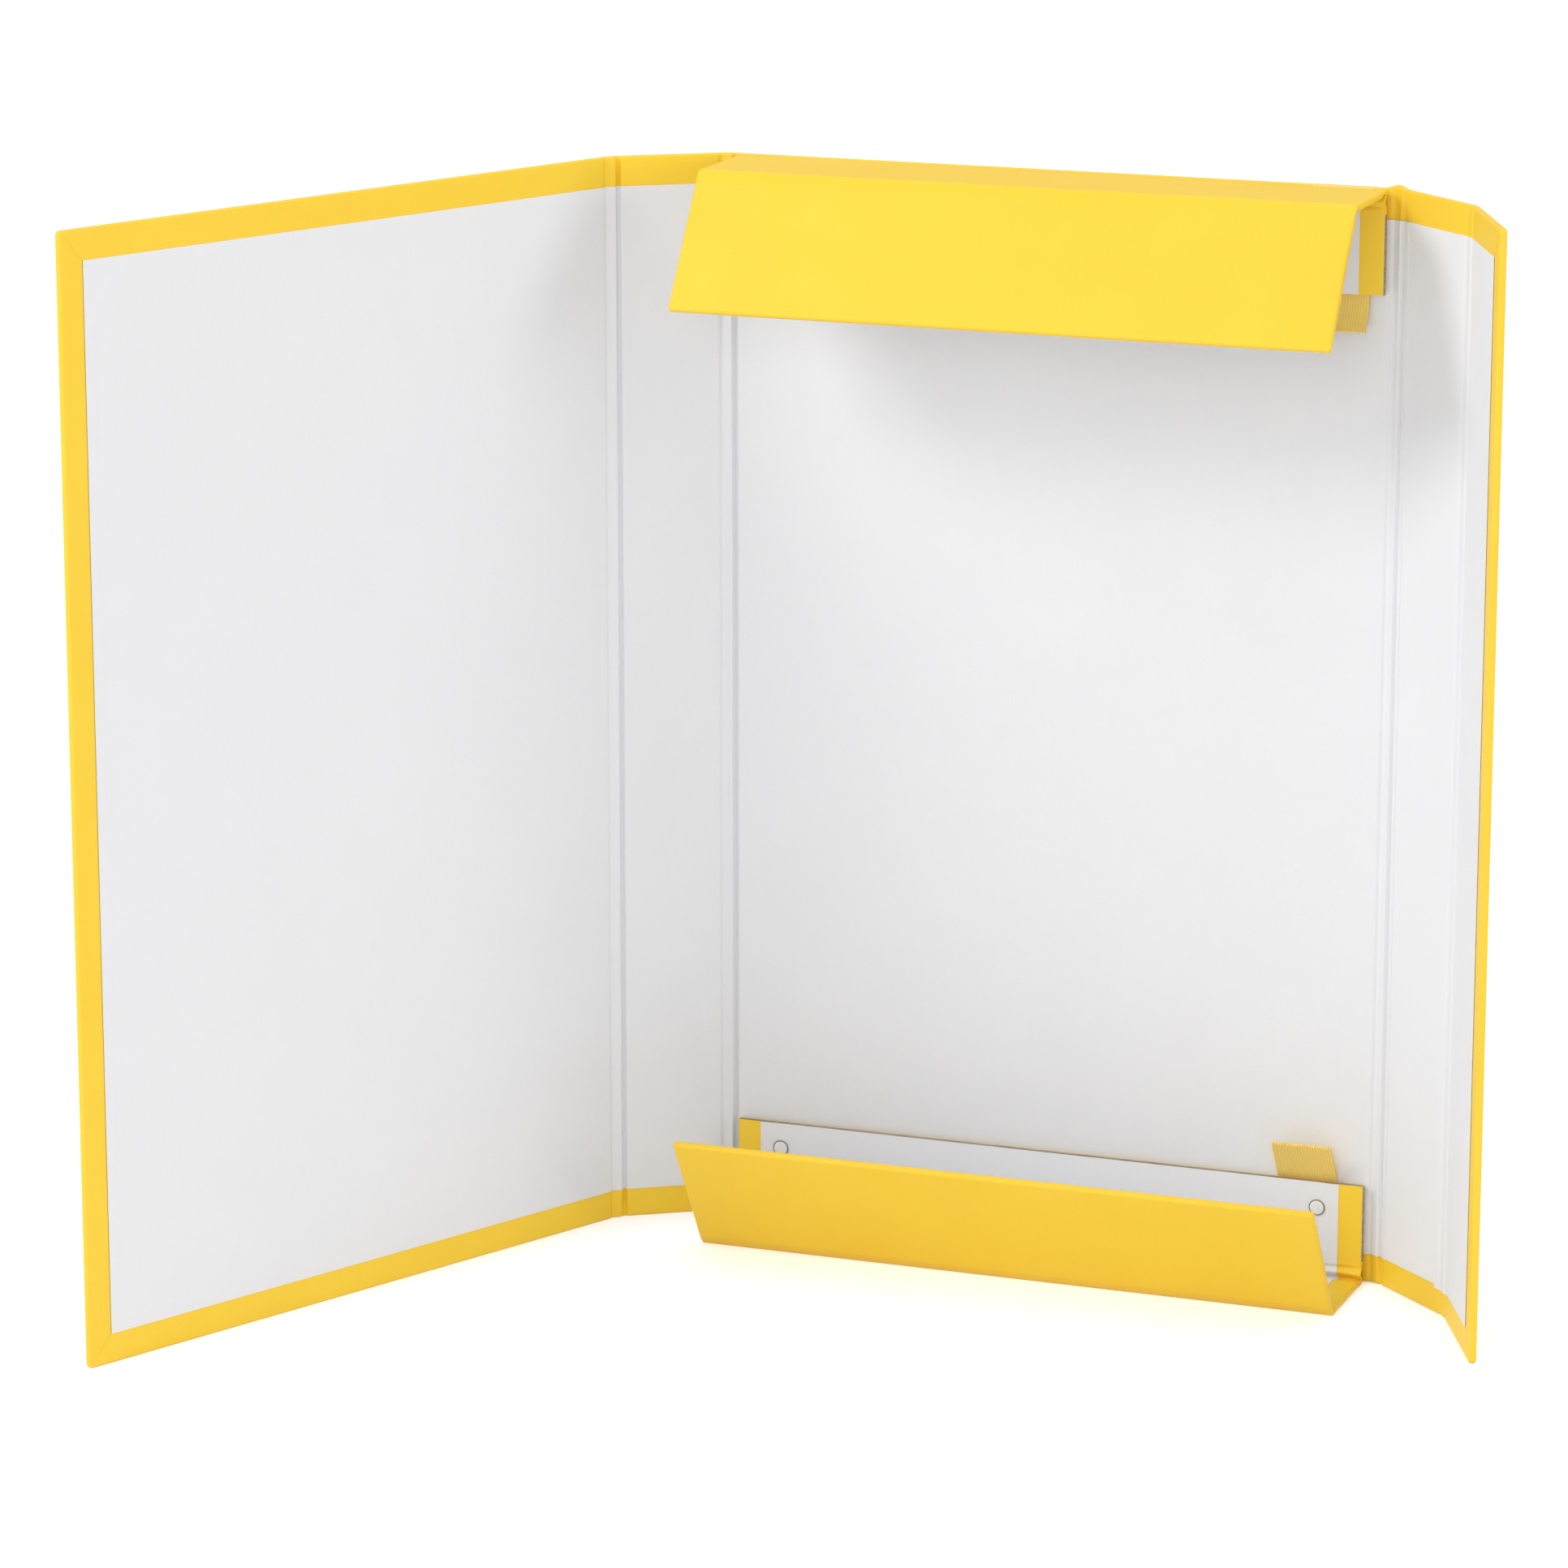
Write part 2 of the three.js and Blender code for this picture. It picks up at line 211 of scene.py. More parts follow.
def build_panels():
    half = PANEL_HINGE_GAP / 2
    spine_joint = next(j for j in frame["joints"] if j["name"] == "spine_hinge")
    left_x, back_y, _ = (value / MM for value in spine_joint["pos_m"])
    front = (0, -1, 0)
    back = Panel("back", (left_x, back_y, 0), (1, 0, 0), front, FOLDER_HEIGHT, BACK_WIDTH,
                 half, half, PANEL_END_MARGIN)
    # The back once more, of no width and looking left, so that the spine joins its left fold line.
    leftward = Panel("back", (left_x, back_y, FOLDER_HEIGHT), (-1, 0, 0), front, FOLDER_HEIGHT, 0,
                     0, 0, PANEL_END_MARGIN)
    leftward.far = half
    spine = hinged(leftward, "spine", SPINE_WIDTH, half)
    cover = hinged(spine, "front_cover", COVER_WIDTH, 0, COVER_SIDE_MARGIN)
    fore_edge = hinged(back, "fore_edge", FORE_EDGE_WIDTH, half)
    closing = hinged(fore_edge, "closing_flap", CLOSING_FLAP_WIDTH, 0, FLAP_MARGIN)
    panels = {p.name: p for p in (back, spine, cover, fore_edge, closing)}
    pairs = [(leftward, spine), (spine, cover), (back, fore_edge), (fore_edge, closing)]
    base_y = back_y - INSIDE - BASE_STAND_OFF + OUTSIDE
    for name, side in (("bottom", -1), ("top", 1)):
        height = FREE_EDGE if side < 0 else FOLDER_HEIGHT - FREE_EDGE
        base = Panel(f"{name}_base", (side * WALL_LENGTH / 2, base_y, height), (0, 0, side), front,
                     WALL_LENGTH, BASE_HEIGHT, 0, BASE_HINGE_GAP / 2, FLAP_MARGIN)
        wall = hinged(base, f"{name}_wall", WALL_DEPTH, half)
        flap = hinged(wall, f"{name}_flap", FLAP_HEIGHT, 0, FLAP_MARGIN)
        panels.update({p.name: p for p in (base, wall, flap)})
        pairs += [(base, wall), (wall, flap)]
    return panels, pairs


# Mesh making

def smoothstep(value):
    value = min(max(value, 0.0), 1.0)
    return value * value * (3 - 2 * value)


def spread(low, high, count):
    return [low + (high - low) * i / count for i in range(count + 1)]


def curve_height(points, place):
    """Height of a line through points at a place along it, eased between them."""
    if place <= points[0][0]:
        return points[0][1]
    for i in range(len(points) - 1):
        (x0, y0), (x1, y1) = points[i], points[i + 1]
        if place <= x1:
            before = points[max(i - 1, 0)]
            after = points[min(i + 2, len(points) - 1)]
            span = x1 - x0
            m0 = (y1 - before[1]) / (x1 - before[0]) * span
            m1 = (after[1] - y0) / (after[0] - x0) * span
            t = (place - x0) / span
            return ((2 * t ** 3 - 3 * t ** 2 + 1) * y0 + (t ** 3 - 2 * t ** 2 + t) * m0
                    + (3 * t ** 2 - 2 * t ** 3) * y1 + (t ** 3 - t ** 2) * m1)
    return points[-1][1]


def add_grid(mesh, rows):
    """Quads between neighbouring rows of points."""
    verts = [[mesh.verts.new(p) for p in row] for row in rows]
    for low, high in zip(verts, verts[1:]):
        for i in range(len(low) - 1):
            mesh.faces.new([low[i], low[i + 1], high[i + 1], high[i]])


def new_piece(name, mesh):
    """Makes an object of the scene from a finished mesh."""
    data = bpy.data.meshes.new(name)
    mesh.to_mesh(data)
    mesh.free()
    piece = bpy.data.objects.new(name, data)
    bpy.context.scene.collection.objects.link(piece)
    return piece


def finish_sheet(name, mesh, thickness, outward):
    """Closes a sheet of paper of the given thickness. outward is a direction out of its first face."""
    bmesh.ops.remove_doubles(mesh, verts=mesh.verts, dist=WELD)
    bmesh.ops.dissolve_degenerate(mesh, edges=mesh.edges, dist=WELD)
    bmesh.ops.recalc_face_normals(mesh, faces=mesh.faces)
    mesh.faces.ensure_lookup_table()
    largest = max(mesh.faces, key=lambda face: face.calc_area())
    if largest.normal.dot(outward) < 0:
        bmesh.ops.reverse_faces(mesh, faces=mesh.faces)
    sheet = new_piece(name, mesh)
    solid = sheet.modifiers.new("thickness", "SOLIDIFY")
    solid.thickness = thickness * MM
    solid.offset = -1
    solid.use_quality_normals = True
    apply_modifiers(sheet)
    shade(sheet.data)
    return sheet


def shade(data):
    """Smooth shading, apart from the cut edges of the paper."""
    for polygon in data.polygons:
        polygon.use_smooth = True
    data.set_sharp_from_angle(angle=SHARP_ANGLE)


def apply_modifiers(piece):
    graph = bpy.context.evaluated_depsgraph_get()
    final = bpy.data.meshes.new_from_object(piece.evaluated_get(graph))
    piece.modifiers.clear()
    piece.data = final


def edge_rows(depth):
    """Inset and share of the depth (0 outside, 1 inside) round a turned edge, from inside to outside."""
    radius = min(EDGE_RADIUS, EDGE_LIMIT * depth)
    turns = [math.pi / 2 * i / EDGE_STEPS for i in range(EDGE_STEPS + 1)]
    inner = [(radius * (1 - math.sin(t)), 1 - radius / depth * (1 - math.cos(t))) for t in turns]
    outer = [(inset, 1 - share) for inset, share in reversed(inner)]
    return inner + outer


def wrap_profile(length, margin, depth):
    """The covering paper across a panel between two turned ends, as pairs of y and share."""
    low = [(margin * part, 1) for part in MARGIN_SHARES]
    low += [(EDGE_BAND, 1)] + edge_rows(depth) + [(EDGE_BAND, 0)]
    middle = [(y, 0) for y in spread(margin, length - margin, OUTSIDE_ROWS)]
    high = [(length - y, share) for y, share in reversed(low)]
    return low + middle + high


# Hinges: a strip of paper bent about the fold line between two panels

class Hinge:
    def __init__(self, first, second):
        self.first = first
        self.second = second
        self.half = second.near
        angle = rest_fold(f"{second.name}_hinge")
        self.angle = angle
        self.reach = PANEL_REACH if second.name in ROUND_HINGES else FLAP_REACH
        self.radius = self.reach / math.tan(angle / 2)
        self.bulge = BUCKLE_HEIGHT if second.name.endswith("_wall") else 0.0
        self.ridge = RIDGE_SHARES.get(second.name, 0.0)
        self.left = 1 if second.name in LEFT_OF_FIRST else -1

    def bend(self, s, y, n):
        """A point s past the fold line and n above it, once the strip is bent."""
        if s <= -self.reach:
            u, v = s, n
        elif s >= self.reach:
            u = s * math.cos(self.angle) - n * math.sin(self.angle)
            v = s * math.sin(self.angle) + n * math.cos(self.angle)
        else:
            turn = self.angle * (s + self.reach) / (2 * self.reach)
            u = -self.reach + (self.radius - n) * math.sin(turn)
            v = self.radius - (self.radius - n) * math.cos(turn)
        return self.first.point(self.first.fold + u, y, v)

    def pucker(self, s, y):
        """How far the turned paper stands up over the top edge of the hinge behind the top flap."""
        if self.second.name != "fore_edge":
            return 0.0
        top = min(max((y - self.first.length + PUCKER_DEPTH) / PUCKER_DEPTH, 0.0), 1.0)
        return PUCKER_HEIGHT * top * math.exp(-((s - PUCKER_MIDDLE) / PUCKER_WIDTH) ** 2)

    def lift(self, s):
        """How far the paper of a wall's hinges stands inward of its flat run.

        At a base it buckles on the base's side. At a flap the fold is flattened towards the flap.
        """
        if self.second.name in ("top_flap", "bottom_flap"):
            begin = smoothstep((s + FOLD_START) / FOLD_START)
            return FOLD_FLAT * begin * (1 - smoothstep((s - FOLD_START / 2) / (self.half - FOLD_EASE)))
        if not self.bulge:
            return 0.0
        middle = -self.half * BUCKLE_PLACE
        return self.bulge * math.exp(-((s - middle) / BUCKLE_WIDTH) ** 2)

    def dip(self, s):
        """Height of the inner paper over the boards' face, away from the turned ends."""
        if self.ridge:
            return self.ridge * curve_height(RIDGE, self.half - self.left * s)
        slope = smoothstep((abs(s) - (self.half - GROOVE_SLOPE)) / (GROOVE_SLOPE + GROOVE_EASE))
        return -INSIDE * (1 - slope)

    def groove(self, s, y):
        """The same anywhere along the hinge. The turned ends are stiffer and dip less."""
        end = smoothstep(min(y, self.first.length - y) / GROOVE_FADE)
        share = PANEL_END_SHARE if self.ridge else BASE_END_SHARE
        return self.dip(s) * (share + (1 - share) * end)

    def stations(self):
        flat = self.half - GROOVE_SLOPE - STATION_GAP
        slopes = spread(self.half + SEAM, flat, SIDE_STATIONS)
        middle = spread(-flat, flat, MIDDLE_STATIONS)[1:-1]
        return [-s for s in slopes] + middle + slopes[::-1]


def hinge_wrap(hinge):
    length = hinge.first.length
    margin = hinge.first.end_margin
    mesh = bmesh.new()
    rows = []
    for s in hinge.stations():
        row = []
        outside = OUTSIDE + hinge.lift(s)
        depth = max(INSIDE + hinge.groove(s, margin) - OUTSIDE, THINNEST)
        for y, share in wrap_profile(length, margin, depth):
            inside = INSIDE + hinge.groove(s, y) + hinge.lift(s)
            row.append(hinge.bend(s, y + hinge.pucker(s, y), outside + (inside - outside) * share))
        rows.append(row)
    add_grid(mesh, rows)
    return finish_sheet(f"{hinge.second.name}_hinge_paper", mesh, PAPER, -hinge.first.inward)


def hinge_lining(hinge):
    length = hinge.first.length
    margin = hinge.first.end_margin
    low = margin - (LINING_SLIP if hinge.second.name == "closing_flap" else 0)
    rows = [
        [hinge.bend(s, y, LINING_TOP + hinge.groove(s, y) + hinge.lift(s))
         for y in spread(low, length - margin, HINGE_ROWS)]
        for s in hinge.stations()
    ]
    mesh = bmesh.new()
    add_grid(mesh, rows)
    return finish_sheet(f"{hinge.second.name}_hinge_lining", mesh, LINING, hinge.first.inward)


# Flat parts of the panels

def plain_wrap(panel):
    """The covering paper of a panel without a free edge of its own."""
    begin = panel.start + (SEAM if panel.near else 0)
    finish = panel.end - SEAM
    depth = INSIDE - OUTSIDE
    profile = wrap_profile(panel.length, panel.end_margin, depth)
    rows = [
        [panel.point(x, y, OUTSIDE + depth * share) for y, share in profile]
        for x in spread(begin, finish, PLAIN_ROWS)
    ]
    mesh = bmesh.new()
    add_grid(mesh, rows)
    return finish_sheet(f"{panel.name}_paper", mesh, PAPER, -panel.inward)


def turned_wrap(panel):
    """The covering paper of a panel with a free edge, turned over on three sides and mitred."""
    begin = panel.start + SEAM
    end = panel.end
    length = panel.length
    radius = panel.corner
    rim = [(TURNED_BAND, 0.0), (radius, 0.0)]
    rim += [(inset, share) for inset, share in reversed(edge_rows(INSIDE - OUTSIDE))]
    rim += [(radius, 1.0)]

    def place(x, y, share, drop):
        return panel.point(x, y, OUTSIDE + (INSIDE - OUTSIDE) * share - drop)

    def straight(x, y, side):
        """One station on a straight edge, with side -1 at y = 0, 1 opposite and 0 at the free edge."""
        points = []
        for inset, share in rim:
            px = end - inset if side == 0 else min(x, end - inset)
            py = y if side == 0 else (inset if side < 0 else length - inset)
            if side == 0:
                py = min(max(py, inset), length - inset)
            points.append(place(px, py, share, 0))
        for part in TURN_IN_SHARES:
            down = radius + (panel.end_margin - radius) * part
            in_x = radius + (panel.side_margin - radius) * part
            if side == 0:
                points.append(place(end - in_x, min(max(y, down), length - down), 1, MITRE_STEP))
            else:
                points.append(place(min(x, end - in_x), down if side < 0 else length - down, 1, 0))
        return points

    def corner(turn, side, drop):
        """One station on a rounded corner, turned by an angle from the end edge to the free edge."""
        points = []
        for inset, share in rim:
            if inset >= radius:
                px, py = end - inset, inset
            else:
                reach = radius - inset
                px = end - radius + reach * math.sin(turn)
                py = radius - reach * math.cos(turn)
            points.append(place(px, py if side < 0 else length - py, share, 0))
        for part in TURN_IN_SHARES:
            down = radius + (panel.end_margin - radius) * part
            in_x = radius + (panel.side_margin - radius) * part
            points.append(place(end - in_x, down if side < 0 else length - down, 1, drop))
        return points

    xs = spread(begin, end - radius, TURNED_ROWS)
    ys = spread(radius, length - radius, FREE_EDGE_ROWS)
    turns = [math.pi / 2 * i / CORNER_STEPS for i in range(1, CORNER_STEPS)]
    stations = [straight(x, 0, -1) for x in xs]
    stations += [corner(t, -1, 0) for t in turns]
    stations += [corner(math.pi / 2, -1, MITRE_STEP)]
    stations += [straight(end, y, 0) for y in ys[1:-1]]
    stations += [corner(math.pi / 2, 1, MITRE_STEP)]
    stations += [corner(t, 1, 0) for t in reversed(turns)]
    stations += [straight(x, 0, 1) for x in reversed(xs)]
    mesh = bmesh.new()
    add_grid(mesh, stations)
    inner_x = [min(x, end - TURNED_BAND) for x in xs]
    inner_y = [min(max(y, TURNED_BAND), length - TURNED_BAND) for y in ys]
    add_grid(mesh, [[panel.point(x, y, OUTSIDE) for y in inner_y] for x in inner_x])
    return finish_sheet(f"{panel.name}_paper", mesh, PAPER, -panel.inward)


def panel_lining(panel):
    """The white paper inside a panel. Round its edges it lies on the turned-over margin."""
    begin = panel.start + (SEAM if panel.near else 0)
    finish = panel.end - (SEAM if panel.far else panel.side_margin)
    low = panel.end_margin
    high = panel.length - panel.end_margin
    lap = [0.0, 1.0, 2.0, 3.0, TURN_IN_LAP, TURN_IN_LAP + 1, TURN_IN_LAP + 2]
    flat_rows = spread(low + LAP_BAND, high - LAP_BAND, LINING_ROWS)
    ys = sorted({low + d for d in lap} | {high - d for d in lap} | set(flat_rows))
    xs = set(spread(begin, finish, LINING_COLUMNS))
    if not panel.far:
        xs |= {finish - d for d in lap}
    rows = []
    for x in sorted(xs):
        row = []
        for y in ys:
            inset = min(y - low, high - y)
            if not panel.far:
                inset = min(inset, finish - x)
            near_hinge = 1.0
            for edge, is_hinge in ((begin, panel.near), (finish, panel.far)):
                if is_hinge:
                    near_hinge = min(near_hinge, abs(x - edge) / HINGE_BAND)
            drop = LAP_DROP * smoothstep((inset - TURN_IN_LAP + LAP_EASE) / LAP_SLOPE)
            sink = drop * smoothstep(near_hinge)
            row.append(panel.point(x, y, LINING_TOP - sink))
        rows.append(row)
    mesh = bmesh.new()
    add_grid(mesh, rows)
    return finish_sheet(f"{panel.name}_lining_paper", mesh, LINING, panel.inward)


# Elastic strap and rivets, from the places of their solids

STRAP_WIDTH = 19.5
STRAP_THICKNESS = 1.0
STRAP_RIBS = 23
RIB_HEIGHT = 0.08
RIB_STEPS = 4
STRAP_STEP = 2.4
TAB_STEP = 0.8
FOOT_TAB_RISE = 13.5
FOOT_TAB_REACH = 9.0
HEAD_TAB_DROP = 11.5
HEAD_TAB_REACH = 4.0
STRAP_BEND = 1.0
STRAP_BEHIND = 0.6
FOOT_TAB_STEPS = 18
HEAD_TAB_STEPS = 14
BEND_STEPS = 4
FRAY = 0.3
FRAY_SEED = 7


def quadratic(start, control, end, count):
    points = []
    for i in range(1, count + 1):
        t = i / count
        points.append(start * (1 - t) ** 2 + control * (2 * t * (1 - t)) + end * t * t)
    return points


def strap_route(inside_y, outside_y):
    """The middle of the strap's thickness seen from the side, as vectors of Y and Z."""
    half = STRAP_THICKNESS / 2
    inner = inside_y - BASE_STAND_OFF / 2
    outer = outside_y + STRAP_BEHIND + half
    foot, head, bend = half, FOLDER_HEIGHT - half, STRAP_BEND
    low, high = FREE_EDGE, FOLDER_HEIGHT - FREE_EDGE

    def line(start, end, step):
        count = max(2, round((end - start).length / step))
        return [start.lerp(end, i / count) for i in range(1, count + 1)]

    def at(y, z):
        return Vector((y, z))

    tab_top = at(inner - FOOT_TAB_REACH, low + FOOT_TAB_RISE)
    route = [tab_top]
    tab_bend = at(inner - FOOT_TAB_REACH / 3, low + FOOT_TAB_RISE / 3)
    route += quadratic(tab_top, tab_bend, at(inner, low), FOOT_TAB_STEPS)
    route += line(route[-1], at(inner, foot + bend), STRAP_STEP)
    route += quadratic(route[-1], at(inner, foot), at(inner + bend, foot), BEND_STEPS)
    route += line(route[-1], at(outer - bend, foot), TAB_STEP)
    route += quadratic(route[-1], at(outer, foot), at(outer, foot + bend), BEND_STEPS)
    route += line(route[-1], at(outer, head - bend), STRAP_STEP)
    route += quadratic(route[-1], at(outer, head), at(outer - bend, head), BEND_STEPS)
    route += line(route[-1], at(inner + bend, head), TAB_STEP)
    route += quadratic(route[-1], at(inner, head), at(inner, head - bend), BEND_STEPS)
    route += line(route[-1], at(inner, high), STRAP_STEP)
    tab_end = at(inner - HEAD_TAB_REACH, high - HEAD_TAB_DROP)
    route += quadratic(route[-1], at(inner, high - HEAD_TAB_DROP / 2), tab_end, HEAD_TAB_STEPS)
    return route


def strap_section():
    """Offsets across the width and thickness, once round the ribbed section."""
    half = STRAP_THICKNESS / 2 - RIB_HEIGHT
    pitch = STRAP_WIDTH / STRAP_RIBS
    count = STRAP_RIBS * RIB_STEPS
    face = []
    for i in range(count + 1):
        across = -STRAP_WIDTH / 2 + STRAP_WIDTH * i / count
        phase = (across + STRAP_WIDTH / 2) / pitch
        face.append((across, half + RIB_HEIGHT * abs(math.sin(math.pi * phase))))
    return face + [(across, -height) for across, height in reversed(face)]


def strap_lean():
    """Distance in x between the strap's head and foot, in millimetres."""
    low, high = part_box("elastic_strap")
    return (high.x - low.x) / MM - STRAP_WIDTH


def make_strap():
    inside_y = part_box("back_lining")[0].y / MM
    outside_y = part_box("back_wrap")[1].y / MM
    route = strap_route(inside_y, outside_y)
    lean = strap_lean()
    left_at_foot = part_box("elastic_strap")[0].x / MM
    section = strap_section()
    mesh = bmesh.new()
    rings = []
    fray = random.Random(FRAY_SEED)
    teeth = [fray.uniform(-FRAY, FRAY) for _ in range(STRAP_RIBS * RIB_STEPS + 1)]
    teeth = teeth + teeth[::-1]
    for i, middle in enumerate(route):
        before = route[max(i - 1, 0)]
        after = route[min(i + 1, len(route) - 1)]
        along = (after - before).normalized()
        across = Vector((-along.y, along.x))
        end = -1 if i == 0 else (1 if i == len(route) - 1 else 0)
        ring = []
        for k, (offset, height) in enumerate(section):
            place = middle + across * height + along * (end * teeth[k])
            x = left_at_foot + STRAP_WIDTH / 2 + offset + lean * place.y / FOLDER_HEIGHT
            ring.append(mesh.verts.new(Vector((x, place.x, place.y)) * MM))
        rings.append(ring)
    for low_ring, high_ring in zip(rings, rings[1:]):
        for k in range(len(section)):
            after = (k + 1) % len(section)
            mesh.faces.new([low_ring[k], low_ring[after], high_ring[after], high_ring[k]])
    half = len(section) // 2
    for ring, flip in ((rings[0], False), (rings[-1], True)):
        for k in range(half - 1):
            quad = [ring[k], ring[k + 1], ring[-k - 2], ring[-k - 1]]
            mesh.faces.new(quad if flip else quad[::-1])
    bmesh.ops.recalc_face_normals(mesh, faces=mesh.faces)
    strap = new_piece("elastic_band", mesh)
    shade(strap.data)
    return strap


RIVET_SEGMENTS = 48
RIVET_PROFILE = [
    (0.0, -0.62), (0.9, -0.61), (1.7, -0.57), (2.05, -0.5), (2.25, -0.36), (2.3, -0.2), (2.3, -0.1),
    (2.44, -0.1), (2.5, -0.24), (2.6, -0.24), (2.66, -0.1), (2.62, -0.02),
    (1.5, 0.0), (1.5, 5.7), (2.6, 5.72), (2.68, 5.85), (2.6, 6.05), (2.3, 6.16), (0.0, 6.2),
]
# Radii of the narrow groove round the front of each head. Its faces get a dark grey, which is painted
# shade of the gap between head and lining.
RIVET_SHADE_RING = (2.28, 2.67)
RIVET_HEAD_DEPTH = 0.7
RIVET_WELD = 1e-7


def make_rivet(node):
    """A turned rivet with a low domed head. Its centre and depth come from its solid's box."""
    low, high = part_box(node)
    depth = RIVET_PROFILE[-1][1] - RIVET_PROFILE[0][1]
    stretch = (high.y - low.y) / MM / depth
    centre = (low + high) / 2
    mesh = bmesh.new()
    rings = []
    for radius, along in RIVET_PROFILE:
        y = low.y + (along - RIVET_PROFILE[0][1]) * stretch * MM
        ring = []
        for i in range(RIVET_SEGMENTS):
            angle = 2 * math.pi * i / RIVET_SEGMENTS
            x = centre.x + radius * MM * math.cos(angle)
            z = centre.z + radius * MM * math.sin(angle)
            ring.append(Vector((x, y, z)))
        rings.append(ring + ring[:1])
    add_grid(mesh, rings)
    bmesh.ops.remove_doubles(mesh, verts=mesh.verts, dist=RIVET_WELD)
    bmesh.ops.recalc_face_normals(mesh, faces=mesh.faces)
    # The groove's faces take the second material, which is painted shade.
    for face in mesh.faces:
        reach = [math.hypot(v.co.x - centre.x, v.co.z - centre.z) / MM for v in face.verts]
        front = max(v.co.y for v in face.verts) < low.y + RIVET_HEAD_DEPTH * MM
        if front and min(reach) > RIVET_SHADE_RING[0] and max(reach) < RIVET_SHADE_RING[1]:
            face.material_index = 1
    rivet = new_piece(f"{node}_turned", mesh)
    shade(rivet.data)
    return rivet


# Materials

TINT_RANGE = (0.3, 0.7)
RIVET_WEAR = 0.93


def new_material(name, colour, roughness):
    material = bpy.data.materials.new(name)
    material.use_nodes = True
    shader = material.node_tree.nodes["Principled BSDF"]
    shader.inputs["Base Color"].default_value = (*colour, 1)
    shader.inputs["Roughness"].default_value = roughness
    return material, material.node_tree, shader


def noise(tree, scale, detail=3.0, stretch=(1, 1, 1)):
    coordinates = tree.nodes.new("ShaderNodeTexCoord")
    mapping = tree.nodes.new("ShaderNodeMapping")
    mapping.inputs["Scale"].default_value = stretch
    texture = tree.nodes.new("ShaderNodeTexNoise")
    texture.inputs["Scale"].default_value = scale
    texture.inputs["Detail"].default_value = detail
    tree.links.new(coordinates.outputs["Object"], mapping.inputs["Vector"])
    tree.links.new(mapping.outputs["Vector"], texture.inputs["Vector"])
    return texture.outputs["Fac"]


def tint(tree, factor, dark, light):
    ramp = tree.nodes.new("ShaderNodeValToRGB")
    for element, position, colour in zip(ramp.color_ramp.elements, TINT_RANGE, (dark, light)):
        element.position = position
        element.color = (*colour, 1)
    tree.links.new(factor, ramp.inputs["Fac"])
    return ramp.outputs["Color"]


def add_bump(tree, shader, heights):
    """Stacks bumps, each a height and its depth in metres."""
    normal = None
    for height, depth in heights:
        bump = tree.nodes.new("ShaderNodeBump")
        bump.inputs["Strength"].default_value = 1.0
        bump.inputs["Distance"].default_value = depth
        tree.links.new(height, bump.inputs["Height"])
        if normal:
            tree.links.new(normal, bump.inputs["Normal"])
        normal = bump.outputs["Normal"]
    tree.links.new(normal, shader.inputs["Normal"])


def paper_material(name, dark, light, roughness, grain, gloss):
    material, tree, shader = new_material(name, light, roughness)
    shader.inputs["Specular IOR Level"].default_value = gloss
    cloud = noise(tree, 28, 4)
    tree.links.new(tint(tree, cloud, dark, light), shader.inputs["Base Color"])
    fibres = noise(tree, 1900, 2)
    felt = noise(tree, 420, 3)
    slow = noise(tree, 22, 2)
    add_bump(tree, shader, [(fibres, grain), (felt, grain * 1.6), (slow, 0.00006)])
    return material


def greyboard_material():
    material, tree, shader = new_material("greyboard", (0.36, 0.31, 0.25), 0.95)
    layers = noise(tree, 900, 3, (0.15, 1, 1))
    colour = tint(tree, layers, (0.24, 0.2, 0.16), (0.46, 0.41, 0.34))
    tree.links.new(colour, shader.inputs["Base Color"])
    add_bump(tree, shader, [(layers, 0.00012)])
    return material


def elastic_material(lean):
    """Woven elastic. Its threads lean with the strap by an angle."""
    material, tree, shader = new_material("elastic", (0.97, 0.7, 0.16), 0.85)
    shader.inputs["Sheen Weight"].default_value = 0.08
    coordinates = tree.nodes.new("ShaderNodeTexCoord")
    mapping = tree.nodes.new("ShaderNodeMapping")
    mapping.inputs["Rotation"].default_value = (0, -lean, 0)
    threads = tree.nodes.new("ShaderNodeTexWave")
    threads.bands_direction = "X"
    threads.inputs["Scale"].default_value = 370
    threads.inputs["Distortion"].default_value = 0.1
    tree.links.new(coordinates.outputs["Object"], mapping.inputs["Vector"])
    tree.links.new(mapping.outputs["Vector"], threads.inputs["Vector"])
    colour = tint(tree, threads.outputs["Fac"], (0.95, 0.63, 0.12), (1.0, 0.78, 0.23))
    tree.links.new(colour, shader.inputs["Base Color"])
    fuzz = noise(tree, 1800, 3)
    add_bump(tree, shader, [(threads.outputs["Fac"], 0.00005), (fuzz, 0.00004)])
    return material


def rivet_material(name, colour, roughness):
    material, tree, shader = new_material(name, colour, roughness)
    wear = noise(tree, 900, 3)
    dark = [RIVET_WEAR * value for value in colour]
    tree.links.new(tint(tree, wear, dark, colour), shader.inputs["Base Color"])
    add_bump(tree, shader, [(wear, 0.00002)])
    return material


def paint(piece, *materials):
    """Gives a piece its materials. An empty list isn't cleared, as that would renumber the faces."""
    if piece.data.materials:
        piece.data.materials.clear()
    for material in materials:
        piece.data.materials.append(material)


# Stage. The floor glows a little to the camera, more so away from the folder.

FLOOR_SIZE = 14
FLOOR_GLOW = (0.42, 0.5)
FLOOR_GLOW_REACH = (0.25, 1.3)
WORLD_LIGHT = 0.62


def ray_kind(tree, first, second):
    """1 for a ray of either of two kinds, and 0 for any other."""
    path = tree.nodes.new("ShaderNodeLightPath")
    either = tree.nodes.new("ShaderNodeMath")
    either.operation = "MAXIMUM"
    tree.links.new(path.outputs[first], either.inputs[0])
    tree.links.new(path.outputs[second], either.inputs[1])
    return either.outputs[0]


